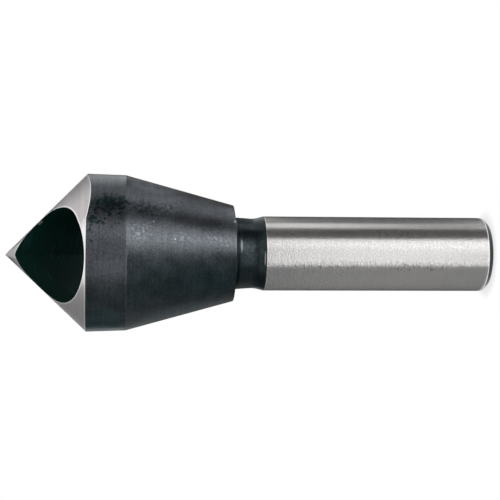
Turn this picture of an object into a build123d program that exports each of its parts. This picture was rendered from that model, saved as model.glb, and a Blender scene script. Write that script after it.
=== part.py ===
from build123d import *

import os
from math import cos, radians, sin, tan

# A countersink bit with a slanted cross hole, turned and ground from one bar of tool steel.
# It stands on the flat end of its shank: the origin is the centre of that end, +Z runs up the
# tool's axis to the tip, and the mouth of the cross hole faces -Y.

# Lengths along the axis. The tip is at overall_length, and the shank takes what the head leaves.
overall_length = 65.0
land_length = 5.05
head_taper_length = 14.34
neck_length = 2.84
runout_length = 1.28

# Diameters, and the radial steps between the turned stretches.
head_diameter = 21.0
land_back_relief = 0.15
back_shoulder_width = 1.6
neck_front_relief = 0.15
neck_waist_relief = 0.35
shank_diameter = 10.0
shank_chamfer = 0.7

# The ground point. Its cone stands a little off the axis, towards the cutting edge on the -X
# side, and leans, so that the lip is proud and the rest of the cone clears the work.
point_half_angle = 44.35
point_offset = 0.33
point_lean = 0.65

# The relief ground on the heel, which is the +X side of the mouth. It is a second cone, whose
# axis stands off beyond the tool's, so it is flatter, and runs further down the land than the
# point's cone does. Its turn is counted from the mouth's own side round to +X, and its margin
# is what it leaves of the tip.
heel_turn = 50.5
heel_half_angle = 42.7
heel_offset = 11.0
heel_tip_margin = 0.02

# The cross hole runs down from its mouth on the cone to the back of the head. It is as wide as
# the thin lip above the land and the solid point at the tip leave room for. On the side of the
# tip two flats take the round wall out to a shallow corner, and the corner's reach is how far
# round they start.
hole_tilt = 50.0
hole_offset = 0.32
mouth_to_land = 0.16
mouth_from_tip = 1.68
corner_reach = 21.0

# Radii of the turned stretches.
head_radius = head_diameter / 2
land_back_radius = head_radius - land_back_relief
shank_radius = shank_diameter / 2
neck_front_radius = shank_radius - neck_front_relief
neck_waist_radius = shank_radius - neck_waist_relief
head_back_radius = neck_front_radius + back_shoulder_width

# Heights of the turned stretches, counted down from the tip.
point_height = (head_radius + point_offset) / tan(radians(point_half_angle + point_lean))
land_front_z = overall_length - point_height
land_back_z = land_front_z - land_length
head_back_z = land_back_z - head_taper_length
neck_waist_z = head_back_z - neck_length
shank_top_z = neck_waist_z - runout_length

# The cross hole meets the cone, on the side of the mouth, at its lowest and highest points.
cone_slope = tan(radians(point_half_angle))
tilt = radians(hole_tilt)
mouth_low = head_radius / cone_slope - mouth_to_land
spread = sin(tilt) + cone_slope * cos(tilt)
hole_radius = (mouth_low - mouth_from_tip) * spread / 2
hole_depth = (mouth_low + mouth_from_tip) * spread / 2 / sin(tilt)

# How far a cutting tool runs past the head, so that it leaves nothing behind.
cut_reach = 2 * head_diameter

# The cone that the point is ground to, tall enough to hold the whole tool below its tip.
lean = radians(point_lean)
tip_plane = Plane(origin=(-point_offset, 0, overall_length), z_dir=(-sin(lean), 0, cos(lean)))
envelope_height = 2 * overall_length

with BuildPart(tip_plane) as point_cone:
    Cone(
        bottom_radius=envelope_height * cone_slope,
        top_radius=0,
        height=envelope_height,
        align=(Align.CENTER, Align.CENTER, Align.MAX),
    )

# The cone that the heel is relieved to. It passes close over the tip.
turn = radians(heel_turn)
heel_slope = tan(radians(heel_half_angle))
heel_apex_z = overall_length + heel_tip_margin + heel_offset / heel_slope
heel_plane = Plane(origin=(-heel_offset * sin(turn), heel_offset * cos(turn), heel_apex_z))

with BuildPart(heel_plane) as heel_cone:
    Cone(
        bottom_radius=envelope_height * heel_slope,
        top_radius=0,
        height=envelope_height,
        align=(Align.CENTER, Align.CENTER, Align.MAX),
    )

# The hole's own plane crosses the tool's axis, and faces down the hole, away from the mouth. Its
# Y axis points away from the side of the tip.
hole_plane = Plane(
    origin=(-hole_offset, 0, overall_length - hole_depth),
    x_dir=(1, 0, 0),
    z_dir=(0, sin(tilt), -cos(tilt)),
)
reach = radians(corner_reach)
flat_start = hole_radius * sin(reach)
flat_level = -hole_radius * cos(reach)
corner_level = -hole_radius / cos(reach)

with BuildPart() as countersink_bit:
    # The turned blank, with its nose still square.
    with BuildSketch(Plane.XZ):
        with BuildLine():
            Polyline(
                (0, 0),
                (shank_radius, 0),
                (shank_radius, shank_top_z),
                (neck_waist_radius, neck_waist_z),
                (neck_front_radius, head_back_z),
                (head_back_radius, head_back_z),
                (land_back_radius, land_back_z),
                (head_radius, land_front_z),
                (head_radius, overall_length),
                (0, overall_length),
                close=True,
            )
        make_face()
    revolve(axis=Axis.Z)

    # The break on the shank's end.
    foot = countersink_bit.faces().sort_by(Axis.Z)[0]
    chamfer(foot.edges(), length=shank_chamfer)

    # The point, ground to its cone, and then relieved on the heel.
    add(point_cone.part, mode=Mode.INTERSECT)
    add(heel_cone.part, mode=Mode.INTERSECT)

    # The slanted cross hole, which throws the chips out behind the point.
    with BuildSketch(hole_plane):
        Circle(hole_radius)
        with BuildLine():
            Polyline(
                (0, 0),
                (flat_start, flat_level),
                (0, corner_level),
                (-flat_start, flat_level),
                close=True,
            )
        make_face()
    extrude(amount=cut_reach, both=True, mode=Mode.SUBTRACT)

countersink_bit.part.label = "countersink_bit"

os.makedirs("parts", exist_ok=True)
export_step(countersink_bit.part, "parts/countersink_bit.step")
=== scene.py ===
import math

import bmesh
import bpy
from mathutils import Matrix, Vector


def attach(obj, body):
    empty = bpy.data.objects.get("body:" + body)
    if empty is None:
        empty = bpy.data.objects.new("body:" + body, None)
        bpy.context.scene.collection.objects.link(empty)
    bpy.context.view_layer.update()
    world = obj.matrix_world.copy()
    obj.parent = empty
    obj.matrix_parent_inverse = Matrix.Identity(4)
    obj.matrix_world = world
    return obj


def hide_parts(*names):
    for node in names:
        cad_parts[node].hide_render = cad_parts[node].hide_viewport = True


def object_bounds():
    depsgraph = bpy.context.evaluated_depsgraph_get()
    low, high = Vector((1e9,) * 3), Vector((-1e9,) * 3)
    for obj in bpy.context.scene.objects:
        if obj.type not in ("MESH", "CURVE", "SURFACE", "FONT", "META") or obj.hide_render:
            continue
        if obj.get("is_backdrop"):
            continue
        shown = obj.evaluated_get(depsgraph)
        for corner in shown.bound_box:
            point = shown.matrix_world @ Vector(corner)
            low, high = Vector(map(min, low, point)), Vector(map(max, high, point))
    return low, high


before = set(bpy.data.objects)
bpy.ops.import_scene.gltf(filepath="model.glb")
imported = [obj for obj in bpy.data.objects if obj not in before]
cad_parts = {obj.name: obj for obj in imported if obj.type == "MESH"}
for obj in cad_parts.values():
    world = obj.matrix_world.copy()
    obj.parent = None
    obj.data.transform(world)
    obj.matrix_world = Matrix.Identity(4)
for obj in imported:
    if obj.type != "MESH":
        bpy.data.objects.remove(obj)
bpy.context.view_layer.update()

# The turned blank. The tool starts as one bar of tool steel, turned to a head, a neck and a shank,
# with its corners broken by a hair, and is then blackened. Everything is drawn in millimetres, with
# the foot of the shank on the floor, and is brought to metres when the tool is finished.
millimetre = 0.001
overall_length = 65.0
land_length = 5.05
head_taper_length = 14.34
neck_length = 2.84
runout_length = 1.28
head_radius = 10.5
land_back_radius = 10.35
head_back_radius = 6.45
neck_front_radius = 4.85
neck_waist_radius = 4.65
shank_radius = 5.0
shank_chamfer = 0.7

# The ground point's cone stands a little off the axis and leans, so that its lip is proud.
point_half_angle = math.radians(44.35)
point_lean = math.radians(0.65)
point_offset = 0.33
point_height = (head_radius + point_offset) / math.tan(point_half_angle + point_lean)

land_front_z = overall_length - point_height
land_back_z = land_front_z - land_length
head_back_z = land_back_z - head_taper_length
neck_waist_z = head_back_z - neck_length
shank_top_z = neck_waist_z - runout_length

# Radius, height and rounding of each corner of the blank, from the foot up.
blank_outline = (
    (0.0, 0.0, 0.0),
    (shank_radius - shank_chamfer, 0.0, 0.12),
    (shank_radius, shank_chamfer, 0.1),
    (shank_radius, shank_top_z, 0.04),
    (neck_waist_radius, neck_waist_z, 0.5),
    (neck_front_radius, head_back_z, 0.45),
    (head_back_radius, head_back_z, 0.04),
    (land_back_radius, land_back_z, 0.12),
    (head_radius, land_front_z, 0.0),
    (head_radius, overall_length, 0.0),
    (0.0, overall_length, 0.0),
)
blank_steps = 384
corner_segments = 4
weld = 1e-4


def turned(outline, steps):
    """Rounds an outline's corners and turns it once round the tool's axis, as a closed shape."""
    shape = bmesh.new()
    corners = [shape.verts.new((radius, 0.0, height)) for radius, height, rounding in outline]
    for lower, upper in zip(corners, corners[1:]):
        shape.edges.new((lower, upper))
    for corner, (radius, height, rounding) in zip(corners, outline):
        if rounding > 0.0:
            bmesh.ops.bevel(
                shape, geom=[corner], offset=rounding, offset_type="OFFSET",
                segments=corner_segments, profile=0.5, affect="VERTICES", material=-1,
            )
    bmesh.ops.spin(
        shape, geom=shape.verts[:] + shape.edges[:], cent=(0.0, 0.0, 0.0), axis=(0.0, 0.0, 1.0),
        angle=math.tau, steps=steps, use_merge=True, use_duplicate=False,
    )
    bmesh.ops.remove_doubles(shape, verts=shape.verts[:], dist=weld)
    bmesh.ops.recalc_face_normals(shape, faces=shape.faces[:])
    return shape


def as_object(name, shape, *finishes):
    """Makes a mesh object of a bmesh, with the finishes in its material slots."""
    mesh = bpy.data.meshes.new(name)
    shape.to_mesh(mesh)
    shape.free()
    for finish in finishes:
        mesh.materials.append(finish)
    piece = bpy.data.objects.new(name, mesh)
    bpy.context.scene.collection.objects.link(piece)
    return piece


black_oxide = bpy.data.materials.new("black_oxide")
ground_shank = bpy.data.materials.new("ground_shank")
blank = turned(blank_outline, blank_steps)
for face in blank.faces:
    height = face.calc_center_median().z
    face.material_index = 1 if shank_chamfer < height < shank_top_z else 0
bit = as_object("countersink_bit_dressed", blank, black_oxide, ground_shank)


def add(tree, kind, inputs=None, **settings):
    """Adds a shader node. Each input is a plain value or another node's output."""
    node = tree.nodes.new("ShaderNode" + kind)
    for name, value in settings.items():
        setattr(node, name, value)
    for name, value in (inputs or {}).items():
        if isinstance(value, bpy.types.NodeSocket):
            tree.links.new(value, node.inputs[name])
        else:
            node.inputs[name].default_value = value
    return node


def finish_of(material, values):
    """Clears a material and gives back its node tree and its Principled shader."""
    material.use_nodes = True
    tree = material.node_tree
    tree.nodes.clear()
    shader = add(tree, "BsdfPrincipled", values)
    add(tree, "OutputMaterial", {"Surface": shader.outputs["BSDF"]})
    return tree, shader


def number(tree, operation, *values):
    """Works out a number from others."""
    return add(tree, "Math", dict(enumerate(values)), operation=operation).outputs[0]


def product(tree, first, *others):
    """Multiplies numbers together."""
    for other in others:
        first = number(tree, "MULTIPLY", first, other)
    return first


def ramp(tree, value, start, end, low=0.0, high=1.0):
    """Leads a number softly from low to high while the value goes from start to end."""
    node = add(
        tree, "MapRange",
        {"Value": value, "From Min": start, "From Max": end, "To Min": low, "To Max": high},
        interpolation_type="SMOOTHSTEP",
    )
    return node.outputs["Result"]


def noise(tree, vector, scale, detail=2.0):
    """An even cloudy pattern about 0.5."""
    return add(tree, "TexNoise", {"Vector": vector, "Scale": scale, "Detail": detail}).outputs[0]


def in_millimetres(tree):
    """The place on the tool, in millimetres."""
    inputs = {0: add(tree, "TexCoord").outputs["Object"], "Scale": 1.0 / millimetre}
    return add(tree, "VectorMath", inputs, operation="SCALE").outputs["Vector"]


def height_of(tree, place):
    """How high a place stands."""
    return add(tree, "SeparateXYZ", {0: place}).outputs["Z"]


def mixed(tree, share, below, above):
    """Mixes two colours."""
    return add(tree, "Mix", {0: share, 6: below, 7: above}, data_type="RGBA").outputs[2]


def shaded(tree, colour, shade):
    """Darkens or lightens a colour."""
    return add(tree, "VectorMath", {0: colour, "Scale": shade}, operation="SCALE").outputs["Vector"]


def group_of(name, inputs, outputs):
    """Starts a shader node group with named sockets."""
    tree = bpy.data.node_groups.new(name, "ShaderNodeTree")
    for socket, kind in inputs.items():
        tree.interface.new_socket(socket, in_out="INPUT", socket_type="NodeSocket" + kind)
    for socket, kind in outputs.items():
        tree.interface.new_socket(socket, in_out="OUTPUT", socket_type="NodeSocket" + kind)
    return tree, tree.nodes.new("NodeGroupInput").outputs, tree.nodes.new("NodeGroupOutput").inputs


# The fine rings that a turning tool or a grinding wheel leaves round the steel. They fade in and
# out on the way round.
ring_reach = 6.0
tool_rings, given, result = group_of(
    "tool_rings", {"Vector": "Vector", "Pitch": "Float"}, {"Rings": "Float"},
)
stretch = add(tool_rings, "CombineXYZ", {0: ring_reach, 1: ring_reach, 2: given["Pitch"]})
stretched = add(
    tool_rings, "VectorMath", {0: given["Vector"], 1: stretch.outputs[0]}, operation="DIVIDE",
)
cloud = noise(tool_rings, stretched.outputs["Vector"], scale=1.0, detail=1.0)
tool_rings.links.new(ramp(tool_rings, cloud, 0.25, 0.75, low=-1.0, high=1.0), result["Rings"])

# Small spots: pits, specks of scale and the crystals of the oxide. A higher level leaves fewer.
spot_edge = 0.06
spots, given, result = group_of(
    "spots", {"Vector": "Vector", "Size": "Float", "Level": "Float"}, {"Mask": "Float"},
)
cloud = noise(spots, given["Vector"], number(spots, "DIVIDE", 1.0, given["Size"]))
above = number(spots, "SUBTRACT", cloud, given["Level"])
spots.links.new(ramp(spots, above, 0.0, spot_edge), result["Mask"])

# One mark on the surface: a stain, a rubbed place or a nick, with a ragged outline. It is full up
# to its core's share of its size.
mark_core = 0.6
mark, given, result = group_of(
    "mark",
    {"Vector": "Vector", "Centre": "Vector", "Across": "Float", "Along": "Float", "Ragged": "Float"},
    {"Mask": "Float"},
)
offset = add(mark, "VectorMath", {0: given["Vector"], 1: given["Centre"]}, operation="SUBTRACT")
size = add(mark, "CombineXYZ", {0: given["Across"], 1: given["Across"], 2: given["Along"]})
share = add(mark, "VectorMath", {0: offset.outputs["Vector"], 1: size.outputs[0]}, operation="DIVIDE")
reach = add(mark, "VectorMath", {0: share.outputs["Vector"]}, operation="LENGTH").outputs["Value"]
rag = number(mark, "SUBTRACT", noise(mark, given["Vector"], scale=2.2, detail=3.0), 0.5)
reach = number(mark, "MULTIPLY_ADD", rag, given["Ragged"], reach)
mark.links.new(ramp(mark, reach, 1.0, mark_core), result["Mask"])


def on_side(turn, height):
    """A point on the blank's side, at a turn in degrees from the mouth's side towards +X."""
    for (radius, low, rounding), (upper_radius, high, rounding) in zip(blank_outline, blank_outline[1:]):
        if low < height <= high:
            across = radius + (upper_radius - radius) * (height - low) / (high - low)
    angle = math.radians(turn)
    return across * math.sin(angle), -across * math.cos(angle), height


def marks(tree, place, ragged, where):
    """Marks on the blank's side, each given by its turn in degrees, height, width and length."""
    mask = 0.0
    for turn, height, across, along in where:
        inputs = {
            "Vector": place, "Centre": on_side(turn, height), "Across": across, "Along": along,
            "Ragged": ragged,
        }
        one = add(tree, "Group", inputs, node_tree=mark)
        mask = number(tree, "MAXIMUM", mask, one.outputs["Mask"])
    return mask


def spotted(tree, place, size, level):
    """Spots all over the surface."""
    inputs = {"Vector": place, "Size": size, "Level": level}
    return add(tree, "Group", inputs, node_tree=spots).outputs["Mask"]


def ringed(tree, place, pitch):
    """Tool rings all over the surface, from -1 to 1."""
    return add(tree, "Group", {"Vector": place, "Pitch": pitch}, node_tree=tool_rings).outputs["Rings"]


def varied(tree, pattern, depth):
    """A shade about 1 from a pattern that goes from -1 to 1."""
    return number(tree, "MULTIPLY_ADD", pattern, depth, 1.0)


def near(tree, value, middle, far, close):
    """How near a number is to a middle: nothing at the far distance, and full at the close one."""
    return ramp(tree, number(tree, "ABSOLUTE", number(tree, "SUBTRACT", value, middle)), far, close)


def roughened(tree, shader, pattern, spread, middle):
    """Varies a finish's roughness about a middle, with a pattern that goes from -1 to 1."""
    tree.links.new(number(tree, "MULTIPLY_ADD", pattern, spread, middle), shader.inputs["Roughness"])


def bumped(tree, shader, pattern, strength, depth):
    """Gives a finish its fine relief, with a depth in millimetres."""
    bump = add(tree, "Bump", {"Height": pattern, "Strength": strength, "Distance": depth * millimetre})
    tree.links.new(bump.outputs["Normal"], shader.inputs["Normal"])


# The blackened steel: blue grey where it shines, with a painted bluish sheen towards -X, a dark
# oily stain behind the point, spots below it, rubbed specks on the taper and some darker patches.
# The neck is darker, partly as painted shade, with a band of painted shadow under the head, and
# the runout, the foot and the head's back rim get painted shade. Painted highlights lie on the
# land's back corner, the taper's top, the head's back rim and the neck.
oxide_colour = (0.150, 0.163, 0.180, 1.0)
stain_colour = (0.026, 0.050, 0.052, 1.0)
spot_colour = (0.030, 0.046, 0.066, 1.0)
# The colour of the painted bluish sheen towards -X.
far_sheen_colour = (0.170, 0.215, 0.240, 1.0)
# The neck's colour, darker partly as painted shade under the head.
neck_tone_and_shade_colour = (0.058, 0.076, 0.082, 1.0)
# The colour of bare steel, also used for the painted highlights.
bare_and_highlight_colour = (0.50, 0.52, 0.54, 1.0)
tree, shader = finish_of(black_oxide, {"Metallic": 0.975, "Specular Tint": (0.9, 0.9, 0.9, 1.0)})
place = in_millimetres(tree)
height = height_of(tree, place)
grain = ramp(tree, noise(tree, place, scale=3.6, detail=3.0), 0.28, 0.72, low=-1.0, high=1.0)
clouds = ramp(tree, noise(tree, place, scale=0.55, detail=2.0), 0.3, 0.7, low=-1.0, high=1.0)

stained = marks(tree, place, ragged=1.5, where=(
    (38.0, 51.3, 1.7, 2.9),
    (25.0, 53.4, 0.7, 0.7),
))
stained = product(
    tree,
    stained,
    number(tree, "SUBTRACT", 1.0, spotted(tree, place, size=0.38, level=0.58)),
    ramp(tree, noise(tree, place, scale=1.6, detail=3.0), 0.35, 0.55, low=0.7, high=1.0),
)
spot_field = marks(tree, place, ragged=0.8, where=((28.0, 51.6, 2.3, 3.1), (19.0, 53.5, 2.2, 0.8)))
dark_spots = product(tree, spot_field, spotted(tree, place, size=0.6, level=0.545))
stained = number(tree, "MAXIMUM", stained, dark_spots)
taper_field = marks(tree, place, ragged=1.2, where=((37.0, 46.2, 1.6, 3.4), (43.0, 43.8, 0.5, 2.0)))
taper_spots = product(tree, taper_field, spotted(tree, place, size=0.5, level=0.47))

rubbed_field = marks(tree, place, ragged=1.2, where=(
    (16.0, 47.2, 1.6, 2.0),
    (13.5, 42.0, 1.0, 2.2),
    (13.0, 37.2, 0.9, 2.6),
))
scraped = add(tree, "VectorMath", {0: place, 1: (1.3, 1.3, 0.8)}, operation="MULTIPLY")
scrapes = noise(tree, scraped.outputs["Vector"], scale=2.6, detail=4.0)
rubbed = product(tree, rubbed_field, ramp(tree, scrapes, 0.48, 0.64))
crumbs = spotted(tree, place, size=0.33, level=0.70)
# A painted highlight along the corner between the land and the taper, and painted shade along the head's
# back rim.
land_corner_highlight = near(tree, height, land_back_z, far=0.2, close=0.05)
head_rim_painted_shade = near(tree, height, head_back_z + 0.05, far=0.12, close=0.04)

# The neck is darker, partly as painted shade under the head.
on_neck = ramp(tree, height, head_back_z - 0.02, head_back_z - 0.15)
# Painted shade on the foot.
foot_painted_shade = ramp(tree, height, 20.0, 10.0, low=1.0, high=0.7)
# Painted shade from the neck's waist down, over the runout and the foot.
runout_painted_shade = ramp(tree, height, neck_waist_z + 0.5, neck_waist_z - 0.3)
# Lighter mottling on the neck's front, and painted reflections on the neck's sides.
neck_mottle_and_reflections = product(
    tree,
    marks(tree, place, ragged=1.2, where=((5.0, 32.4, 1.05, 1.9),)),
    ramp(tree, noise(tree, place, scale=2.0, detail=4.0), 0.38, 0.62),
)
neck_side_reflections = marks(tree, place, ragged=0.5, where=((50.0, 32.3, 0.9, 2.4), (-62.0, 32.3, 1.0, 2.6)))
neck_mottle_and_reflections = number(tree, "MAXIMUM", neck_mottle_and_reflections, neck_side_reflections)
# A painted sheen on the taper's top.
painted_taper_sheen = marks(tree, place, ragged=0.4, where=((72.0, 46.0, 3.0, 4.6),))
# A painted highlight on the neck, just behind the head.
neck_highlight = marks(tree, place, ragged=0.3, where=((12.0, 33.97, 1.05, 0.19),))
# A band of painted shadow on the neck, just under the head's back.
painted_head_shadow = ramp(tree, height, head_back_z - 0.7, head_back_z - 0.55)
# Darker patches on the taper, the neck and the land.
darker_patches = number(
    tree, "MAXIMUM",
    marks(tree, place, ragged=0.8, where=((43.0, 39.0, 3.4, 5.5), (29.0, 32.4, 1.4, 1.9))),
    product(tree, marks(tree, place, ragged=0.8, where=((3.0, 51.6, 1.9, 3.2),)), 0.6),
)

shade = product(
    tree,
    varied(tree, ringed(tree, place, pitch=0.13), 0.09),
    varied(tree, ringed(tree, place, pitch=0.6), 0.05),
    varied(tree, grain, 0.18),
    varied(tree, clouds, 0.09),
    varied(tree, rubbed, 0.6),
    varied(tree, crumbs, 0.7),
    varied(tree, painted_taper_sheen, 0.75),
    varied(tree, land_corner_highlight, 0.05),
    varied(tree, head_rim_painted_shade, -0.2),
    varied(tree, product(tree, painted_head_shadow, on_neck), -0.45),
    varied(tree, runout_painted_shade, -0.12),
    varied(tree, darker_patches, -0.28),
    foot_painted_shade,
)
# Bare flecks and nicks, with the neck's lighter mottling and painted highlights mixed in, on the head's
# back rim, behind the head and on the neck's sides.
bare_and_highlights = marks(tree, place, ragged=0.3, where=(
    (25.4, 45.67, 0.16, 0.12),
    (12.0, 42.9, 0.14, 0.12),
    (40.0, head_back_z + 0.12, 0.26, 0.14),
    (-8.0, shank_top_z + 0.22, 1.15, 0.09),
))
# A painted highlight along part of the head's back rim.
head_rim_highlight = marks(tree, place, ragged=0.3, where=((11.0, head_back_z + 0.08, 1.7, 0.12),))
bare_and_highlights = number(tree, "MAXIMUM", bare_and_highlights, product(tree, head_rim_highlight, 0.25))
bare_and_highlights = number(tree, "MAXIMUM", bare_and_highlights, product(tree, neck_highlight, 0.40))
bare_and_highlights = number(tree, "MAXIMUM", bare_and_highlights, product(tree, neck_mottle_and_reflections, 0.06))
# A painted bluish sheen towards -X.
far_side_sheen = marks(tree, place, ragged=0.6, where=((-66.0, 51.8, 5.5, 3.4), (-74.0, 42.5, 3.6, 9.0)))
colour = mixed(tree, far_side_sheen, oxide_colour, far_sheen_colour)
colour = mixed(tree, product(tree, taper_spots, 0.55), colour, spot_colour)
colour = mixed(tree, on_neck, mixed(tree, stained, colour, stain_colour), neck_tone_and_shade_colour)
colour = shaded(tree, colour, shade)
tree.links.new(mixed(tree, bare_and_highlights, colour, bare_and_highlight_colour), shader.inputs["Base Color"])
roughened(tree, shader, clouds, spread=0.03, middle=0.31)
relief = number(tree, "MULTIPLY_ADD", ringed(tree, place, pitch=0.2), 0.3, grain)
bumped(tree, shader, relief, strength=0.5, depth=0.006)


# The shank. It is ground to size after the blackening, which leaves its cylinder bright, with the
# wheel's fine rings and a few short dark pits, painted highlights at both ends of the ground
# stretch, and the break on its end still black.
shank_colour = (0.84, 0.82, 0.812)
tree, shader = finish_of(ground_shank, {"Metallic": 0.9, "Specular Tint": (0.5, 0.5, 0.5, 1.0)})
place = in_millimetres(tree)
height = height_of(tree, place)
grain = ramp(tree, noise(tree, place, scale=5.0, detail=3.0), 0.3, 0.7, low=-1.0, high=1.0)
# Painted highlights at both ends of the ground stretch.
end_highlights = number(
    tree, "MAXIMUM",
    ramp(tree, height, shank_top_z - 0.22, shank_top_z - 0.06),
    ramp(tree, height, shank_chamfer + 0.3, shank_chamfer + 0.12),
)
squeezed = add(tree, "VectorMath", {0: place, 1: (1.0, 1.0, 4.5)}, operation="MULTIPLY")
pit_field = marks(tree, place, ragged=1.0, where=(
    (-19.0, 24.6, 0.6, 2.6),
    (-21.0, 12.0, 0.6, 2.8),
    (-20.0, 19.5, 0.35, 0.8),
    (-21.5, 8.4, 0.5, 1.8),
))
pits = product(tree, pit_field, spotted(tree, squeezed.outputs["Vector"], size=0.9, level=0.55))
scuffed = product(
    tree,
    marks(tree, place, ragged=1.4, where=((-17.0, 15.5, 0.6, 19.0),)),
    ramp(tree, noise(tree, squeezed.outputs["Vector"], scale=1.5, detail=3.0), 0.42, 0.58),
)
shade = product(
    tree,
    varied(tree, ringed(tree, place, pitch=0.1), 0.035),
    varied(tree, ringed(tree, place, pitch=0.5), 0.015),
    varied(tree, grain, 0.10),
    varied(tree, pits, -0.45),
    varied(tree, scuffed, -0.25),
    varied(tree, end_highlights, 0.2),
)
tree.links.new(shaded(tree, shank_colour, shade), shader.inputs["Base Color"])
roughened(tree, shader, grain, spread=0.02, middle=0.185)
relief = number(tree, "MULTIPLY_ADD", ringed(tree, place, pitch=0.15), 0.12, grain)
bumped(tree, shader, relief, strength=0.4, depth=0.005)


# The ground point. The nose is ground to its cone last, so the steel is bare and bright there.
# The tool's own cone is drawn from its tip down, and what lies outside it is cut away.
ground_cone = bpy.data.materials.new("ground_cone")
cone_steps = 512
cone_slope = math.tan(point_half_angle)
cone_rings = (0.0, 0.05, 0.4, 1.2, 2.5, 5.0, 8.0, 12.0, 80.0)
tip_place = Vector((-point_offset, 0.0, overall_length))


def cone_outline(rings, slope):
    """A cone's outline from its tip down, with a corner at each ring's radius, closed to the axis."""
    outline = [(radius, -radius / slope, 0.0) for radius in rings]
    outline.append((0.0, -rings[-1] / slope, 0.0))
    return outline


def cut(piece, tool, operation):
    """Cuts a piece with a tool that is then put away. A cut face takes the tool's finish."""
    modifier = piece.modifiers.new("cut", "BOOLEAN")
    modifier.object = tool
    modifier.operation = operation
    modifier.solver = "EXACT"
    modifier.material_mode = "TRANSFER"
    graph = bpy.context.evaluated_depsgraph_get()
    mesh = bpy.data.meshes.new_from_object(piece.evaluated_get(graph))
    piece.modifiers.clear()
    piece.data = mesh
    bpy.data.objects.remove(tool)


cone = turned(cone_outline(cone_rings, cone_slope), cone_steps)
bmesh.ops.rotate(
    cone, verts=cone.verts[:], cent=(0.0, 0.0, 0.0), matrix=Matrix.Rotation(-point_lean, 3, "Y"),
)
bmesh.ops.translate(cone, verts=cone.verts[:], vec=tip_place)
cut(bit, as_object("cone", cone, ground_cone), "INTERSECT")


# The relief on the heel, behind the mouth. It is ground to a second cone, whose axis stands off
# beyond the tool's, so it is flatter than the point and runs further down the head.
relieved_heel = bpy.data.materials.new("relieved_heel")
heel_turn = math.radians(50.5)
heel_slope = math.tan(math.radians(42.7))
heel_offset = 11.0
heel_tip_margin = 0.02
heel_place = Vector((
    -heel_offset * math.sin(heel_turn),
    heel_offset * math.cos(heel_turn),
    overall_length + heel_tip_margin + heel_offset / heel_slope,
))
heel_rings = (0.0, 5.0, 10.0, 15.0, 20.0, 25.0, 80.0)
heel = turned(cone_outline(heel_rings, heel_slope), 2 * cone_steps)
bmesh.ops.translate(heel, verts=heel.verts[:], vec=heel_place)
cut(bit, as_object("heel", heel, relieved_heel), "INTERSECT")


# The slanted cross hole. It is drilled from its mouth on the cone down to the back of the head,
# and throws the chips out there. Its wall is dark, with the drill's rings square to its axis, and
# it is broken out to a shallow corner on the side of the tip.
drilled_wall = bpy.data.materials.new("drilled_wall")
hole_tilt = math.radians(50.0)
hole_offset = 0.32
mouth_to_land = 0.16
mouth_from_tip = 1.68
mouth_low = head_radius / cone_slope - mouth_to_land
mouth_spread = math.sin(hole_tilt) + cone_slope * math.cos(hole_tilt)
hole_radius = (mouth_low - mouth_from_tip) * mouth_spread / 2.0
hole_depth = (mouth_low + mouth_from_tip) * mouth_spread / 2.0 / math.sin(hole_tilt)
hole_place = Vector((-hole_offset, 0.0, overall_length - hole_depth))
hole_reach = 30.0
hole_steps = 256
corner_reach = math.radians(21.0)
hole_outline = (
    (0.0, -hole_reach, 0.0),
    (hole_radius, -hole_reach, 0.0),
    (hole_radius, hole_reach, 0.0),
    (0.0, hole_reach, 0.0),
)
hole_turn = Matrix.Rotation(hole_tilt, 3, "X")
drill = turned(hole_outline, hole_steps)
for vertex in drill.verts:
    off_corner = abs(math.atan2(vertex.co.x, vertex.co.y))
    if off_corner < corner_reach:
        vertex.co.xy *= 1.0 / math.cos(corner_reach - off_corner)
bmesh.ops.rotate(drill, verts=drill.verts[:], cent=(0.0, 0.0, 0.0), matrix=hole_turn)
bmesh.ops.translate(drill, verts=drill.verts[:], vec=hole_place)
cut(bit, as_object("drill", drill, drilled_wall), "DIFFERENCE")

# The edges. They are sharp where two finishes meet or the steel turns hard, and the shading is
# even over the rest. The finished shape is brought to metres here.
sharp_corner = math.radians(30.0)
shape = bmesh.new()
shape.from_mesh(bit.data)
bmesh.ops.remove_doubles(shape, verts=shape.verts[:], dist=weld)
for face in shape.faces:
    face.smooth = True
for edge in shape.edges:
    meeting = [face.material_index for face in edge.link_faces]
    edge.smooth = len(set(meeting)) == 1 and edge.calc_face_angle(0.0) < sharp_corner
bmesh.ops.scale(shape, verts=shape.verts[:], vec=(millimetre, millimetre, millimetre))
shape.to_mesh(bit.data)
shape.free()

even = bit.modifiers.new("even_shading", "WEIGHTED_NORMAL")
even.mode = "FACE_AREA"
even.weight = 50
even.keep_sharp = True

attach(bit, "root")
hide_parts("countersink_bit")


def from_axis(tree, place):
    """How far a place is from the Z axis."""
    axes = add(tree, "SeparateXYZ", {0: place})
    flat = add(tree, "CombineXYZ", {0: axes.outputs["X"], 1: axes.outputs["Y"]})
    return add(tree, "VectorMath", {0: flat.outputs[0]}, operation="LENGTH").outputs["Value"]


# Where a point lies in the drill's own frame, whose Z runs along the hole, and how far it is from
# the wall. A negative gap is inside the hole.
from_drill, given, result = group_of(
    "from_drill", {"Vector": "Vector"}, {"Place": "Vector", "Gap": "Float"},
)
moved = add(from_drill, "VectorMath", {0: given["Vector"], 1: hole_place}, operation="SUBTRACT")
turned_back = add(
    from_drill, "Mapping", {"Vector": moved.outputs["Vector"], "Rotation": (-hole_tilt, 0.0, 0.0)},
)
away = from_axis(from_drill, turned_back.outputs["Vector"])
from_drill.links.new(turned_back.outputs["Vector"], result["Place"])
from_drill.links.new(number(from_drill, "SUBTRACT", away, hole_radius), result["Gap"])

wall_colour = (0.0045, 0.0360, 0.0280, 1.0)
wall_ring_colour = (0.012, 0.058, 0.048, 1.0)
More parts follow.
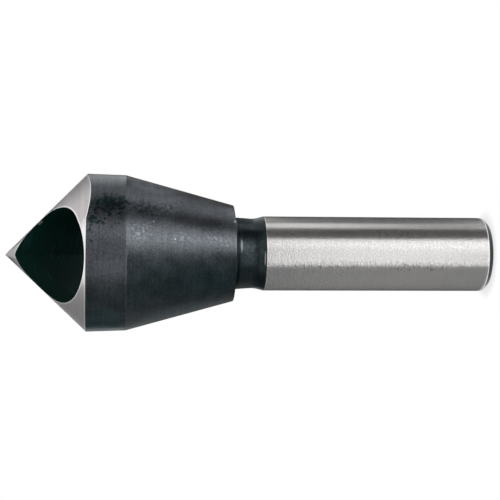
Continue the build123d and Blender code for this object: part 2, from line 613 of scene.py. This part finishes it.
# A light fleck by the mouth's rim: a burr, with its glint painted.
burr_glint_colour = (0.30, 0.33, 0.32, 1.0)
burr_glint_place = (3.9, -0.75, 60.4)
tree, shader = finish_of(drilled_wall, {"Metallic": 0.0, "IOR": 1.12, "Roughness": 0.6})
place = in_millimetres(tree)
drilled = add(tree, "Group", {"Vector": place}, node_tree=from_drill)
rings = product(
    tree,
    ramp(tree, ringed(tree, drilled.outputs["Place"], pitch=0.45), 0.0, 0.8),
    ramp(tree, noise(tree, place, scale=0.4, detail=1.0), 0.4, 0.6),
)
# The burr's painted glint.
burr_glint_inputs = {"Vector": place, "Centre": burr_glint_place, "Across": 0.45, "Along": 0.5, "Ragged": 1.5}
burr_glint = add(tree, "Group", burr_glint_inputs, node_tree=mark)
colour = mixed(tree, rings, wall_colour, wall_ring_colour)
tree.links.new(mixed(tree, burr_glint.outputs["Mask"], colour, burr_glint_colour), shader.inputs["Base Color"])
bumped(tree, shader, rings, strength=0.4, depth=0.02)

# The ground steel of the point and the heel: the wheel's rings, painted highlights along the edges
# where the hole and the side of the head meet it and on the lip beside the mouth, and painted
# shade on the tip.
ground_colour = (0.56, 0.535, 0.54)
highlight_colour = (0.93, 0.92, 0.91, 1.0)
for material, ring_depth in ((ground_cone, 0.05), (relieved_heel, 0.06)):
    tree, shader = finish_of(material, {"Metallic": 0.85})
    place = in_millimetres(tree)
    height = height_of(tree, place)
    drilled = add(tree, "Group", {"Vector": place}, node_tree=from_drill)
    # Painted highlights along the hole's rim, the head's side and the lip beside the mouth.
    hole_rim_highlight = ramp(tree, drilled.outputs["Gap"], 0.26, 0.06)
    side_rim_highlight = ramp(tree, from_axis(tree, place), head_radius - 0.18, head_radius - 0.04)
    lip_highlight = marks(tree, place, ragged=0.3, where=((0.0, 54.3, 5.0, 1.4),))
    # Painted shade on the tip.
    tip_painted_shade = ramp(tree, height, overall_length - 1.8, overall_length - 1.0, low=1.0, high=0.72)
    rim_highlights = number(tree, "MAXIMUM", number(tree, "MAXIMUM", hole_rim_highlight, side_rim_highlight), lip_highlight)
    grain = ramp(tree, noise(tree, place, scale=3.0, detail=3.0), 0.28, 0.72, low=-1.0, high=1.0)
    shade = product(
        tree,
        varied(tree, ringed(tree, place, pitch=0.12), ring_depth),
        varied(tree, ringed(tree, place, pitch=0.5), ring_depth),
        varied(tree, grain, 0.04),
        tip_painted_shade,
    )
    colour = shaded(tree, ground_colour, shade)
    tree.links.new(mixed(tree, rim_highlights, colour, highlight_colour), shader.inputs["Base Color"])
    roughened(tree, shader, grain, spread=0.02, middle=0.33)
    bumped(tree, shader, ringed(tree, place, pitch=0.15), strength=0.4, depth=0.006)


# The studio. A small pale plinth in an even white room, with cards round it, out of the camera's
# sight, that the metal shows as its bands, and two soft strip lights to the side of the camera.
world = bpy.data.worlds.new("white_room")
bpy.context.scene.world = world
world.use_nodes = True
world.node_tree.nodes["Background"].inputs["Color"].default_value = (1.0, 1.0, 1.0, 1.0)
world.node_tree.nodes["Background"].inputs["Strength"].default_value = 1.0

# The plinth glows white for the camera and in the metal. Its middle takes a little shadow, and
# its rim takes none.
plinth_radius = 7.0
plinth_steps = 96
shadow_radius = 5.0
shadow_end_radius = 6.5
middle_glow = 0.75
shape = bmesh.new()
bmesh.ops.create_circle(
    shape, cap_ends=True, segments=plinth_steps, radius=plinth_radius * millimetre,
)
plinth_paint = bpy.data.materials.new("plinth_paint")
plinth = as_object("plinth", shape, plinth_paint)
plinth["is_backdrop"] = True
plinth_paint.use_nodes = True
tree = plinth_paint.node_tree
tree.nodes.clear()
path = add(tree, "LightPath")
seen = number(tree, "MAXIMUM", path.outputs["Is Camera Ray"], path.outputs["Is Glossy Ray"])
seen = number(tree, "MAXIMUM", seen, path.outputs["Is Transmission Ray"])
reach = add(tree, "VectorMath", {0: in_millimetres(tree)}, operation="LENGTH").outputs["Value"]
share = product(tree, seen, ramp(tree, reach, shadow_radius, shadow_end_radius, low=middle_glow))
lit = add(tree, "BsdfDiffuse", {"Color": (0.92, 0.92, 0.92, 1.0)})
glow = add(tree, "Emission", {"Color": (1.0, 1.0, 1.0, 1.0), "Strength": 1.0})
blend = add(tree, "MixShader", {0: share, 1: lit.outputs[0], 2: glow.outputs[0]})
add(tree, "OutputMaterial", {"Surface": blend.outputs[0]})

# Each card has its name, its first and last turn, from the camera's side towards +X, its lowest
# and highest rise, seen from the middle of the tool, and its colour. Turns and rises are in degrees.
card_distance = 1500.0
card_centre_z = 30.0
card_steps = 24
cards = (
    ("low_left_card", -165.0, -90.0, -60.0, -19.5, (0.03, 0.08, 0.08)),
    ("low_front_card", -90.0, 4.0, -60.0, -21.0, (0.02, 0.09, 0.09)),
    ("low_side_card", 54.0, 86.0, -60.0, -19.0, (0.14, 0.14, 0.14)),
    ("left_card", -165.0, -90.0, -19.5, -5.5, (0.37, 0.365, 0.36)),
    ("left_front_card", -90.0, -37.0, -21.0, -5.5, (0.37, 0.365, 0.36)),
    ("brown_card", 46.5, 86.0, -19.0, -5.5, (0.050, 0.041, 0.036)),
    ("gap_card", 86.0, 109.0, -13.5, -9.5, (0.98, 0.97, 0.97)),
    ("low_gap_card", 86.0, 108.0, -19.0, -13.5, (0.33, 0.32, 0.32)),
    ("right_card", 109.0, 160.0, -12.5, -5.5, (0.22, 0.22, 0.22)),
    ("low_right_card", 109.0, 160.0, -18.0, -12.5, (0.18, 0.18, 0.185)),
    ("front_card", -45.0, 20.0, -4.5, 24.0, (0.19, 0.19, 0.20)),
    ("front_right_card", 20.0, 50.0, -4.5, 24.0, (0.65, 0.65, 0.66)),
    ("land_right_card", 50.0, 78.0, -5.5, 24.0, (0.13, 0.13, 0.135)),
    ("land_side_card", 78.0, 118.0, -5.5, 24.0, (0.65, 0.65, 0.65)),
    ("land_left_card", -149.0, -45.0, -5.5, 24.0, (0.075, 0.115, 0.115)),
    ("heel_card", 140.0, 178.0, 14.0, 38.0, (0.12, 0.12, 0.12)),
    ("cone_card", -172.0, -150.0, 13.0, 56.0, (0.44, 0.44, 0.44)),
    ("cone_top_card", -150.0, -90.0, 24.0, 66.0, (0.30, 0.30, 0.30)),
    ("back_card", 158.0, 202.0, -22.0, 10.0, (0.06, 0.07, 0.07)),
)
for name, start, end, low, high, colour in cards:
    shape = bmesh.new()
    first = math.radians(start)
    heights = [card_centre_z + card_distance * math.tan(math.radians(rise)) for rise in (low, high)]
    corners = [
        shape.verts.new((card_distance * math.sin(first), -card_distance * math.cos(first), height))
        for height in heights
    ]
    edge = shape.edges.new(corners)
    bmesh.ops.spin(
        shape, geom=[*corners, edge], cent=(0.0, 0.0, 0.0), axis=(0.0, 0.0, 1.0),
        angle=math.radians(end - start), steps=card_steps, use_merge=False, use_duplicate=False,
    )
    bmesh.ops.scale(shape, verts=shape.verts[:], vec=(millimetre, millimetre, millimetre))
    paint = bpy.data.materials.new(name + "_paint")
    finish_of(paint, {"Base Color": (*colour, 1.0), "Roughness": 1.0, "Specular IOR Level": 0.0})
    card = as_object(name, shape, paint)
    card.visible_camera = False
    card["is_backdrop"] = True

# Two soft strip lights stand one over the other, a little to the side of the camera. The lower
# one lights the head's taper, and the upper one the shank. Each has its name, its lowest and
# highest point in metres, and its brightness.
lamp_distance = 1.4
lamp_width = 0.40
lamp_turn = math.radians(27.0)
lamps = (
    ("low_strip_light", -1.15, -0.55, 0.90),
    ("shank_strip_light", -0.42, -0.12, 0.17),
)
for name, low, high, brightness in lamps:
    strip = bpy.data.lights.new(name, "AREA")
    strip.shape = "RECTANGLE"
    strip.size = lamp_width
    strip.size_y = high - low
    strip.energy = brightness * math.pi * strip.size * strip.size_y
    lamp = bpy.data.objects.new(name, strip)
    lamp.location = (
        lamp_distance * math.sin(lamp_turn), -lamp_distance * math.cos(lamp_turn), (low + high) / 2.0,
    )
    lamp.rotation_euler = (math.pi / 2.0, 0.0, lamp_turn)
    lamp.visible_camera = False
    bpy.context.scene.collection.objects.link(lamp)

# The camera looks at the mouth's side and lies on its own side: up in its picture is +X, so the
# standing tool is seen lying, with its tip to the left.
camera_place = Vector((0.36, -181.07, 51.09)) * millimetre
camera_aim = Vector((0.455, 0.0, 32.42)) * millimetre
camera_roll = math.radians(0.288)
camera_back = (camera_place - camera_aim).normalized()
camera_up = Vector((math.cos(camera_roll), 0.0, math.sin(camera_roll)))
camera_right = camera_up.cross(camera_back).normalized()
camera_up = camera_back.cross(camera_right)
lens = bpy.data.cameras.new("camera")
lens.lens = 97.2
lens.sensor_width = 36.0
lens.clip_start = 0.01
camera = bpy.data.objects.new("camera", lens)
camera.matrix_world = Matrix((
    (camera_right.x, camera_up.x, camera_back.x, camera_place.x),
    (camera_right.y, camera_up.y, camera_back.y, camera_place.y),
    (camera_right.z, camera_up.z, camera_back.z, camera_place.z),
    (0.0, 0.0, 0.0, 1.0),
))
bpy.context.scene.collection.objects.link(camera)
bpy.context.scene.camera = camera
bpy.context.scene.view_settings.view_transform = "Standard"

low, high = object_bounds()
